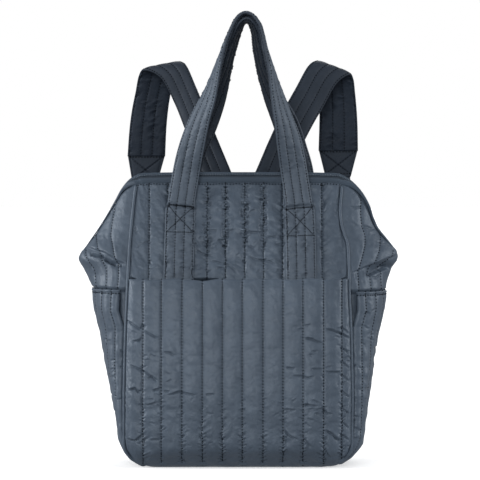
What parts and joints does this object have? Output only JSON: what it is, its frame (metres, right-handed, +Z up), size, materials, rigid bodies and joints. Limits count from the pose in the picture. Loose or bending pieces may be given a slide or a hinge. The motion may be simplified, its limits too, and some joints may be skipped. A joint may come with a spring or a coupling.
{
  "type": "mini backpack",
  "caption": "Small quilted nylon backpack with a wide zipped mouth, flared ears, a front pocket, slip side pockets, carrying handles and folded shoulder straps",
  "frame": {"origin": "middle of the flat base, on the surface that the bag stands on", "axes": "+X to the right of someone who looks at the front pocket, +Y from the front pocket towards the back, +Z up to the carrying handles"},
  "size_m": [0.3191, 0.1746, 0.4549],
  "materials": {
    "quilted_nylon": "soft sheen",
    "handle_nylon": "soft sheen",
    "strap_nylon": "matte",
    "trim_tape": "soft sheen",
    "webbing": "matte",
    "zip_tape": "matte",
    "slider_paint": "satin"
  },
  "bodies": {
    "root": {"front_panel": "quilted_nylon", "back_panel": "quilted_nylon", "front_pocket": "quilted_nylon", "gusset": "quilted_nylon", "side_pocket_left": "quilted_nylon", "side_pocket_right": "quilted_nylon", "piping_front": "trim_tape", "piping_back": "trim_tape", "mouth_band_front": "trim_tape", "mouth_band_back": "trim_tape", "zip": "zip_tape", "zip_slider": "slider_paint", "handle_front": "handle_nylon", "handle_back": "handle_nylon", "shoulder_strap_left": "strap_nylon", "shoulder_strap_right": "strap_nylon", "strap_tip_left": "strap_nylon", "strap_tip_right": "strap_nylon", "strap_webbing_left": "webbing", "strap_webbing_right": "webbing"}
  },
  "joints": []
}
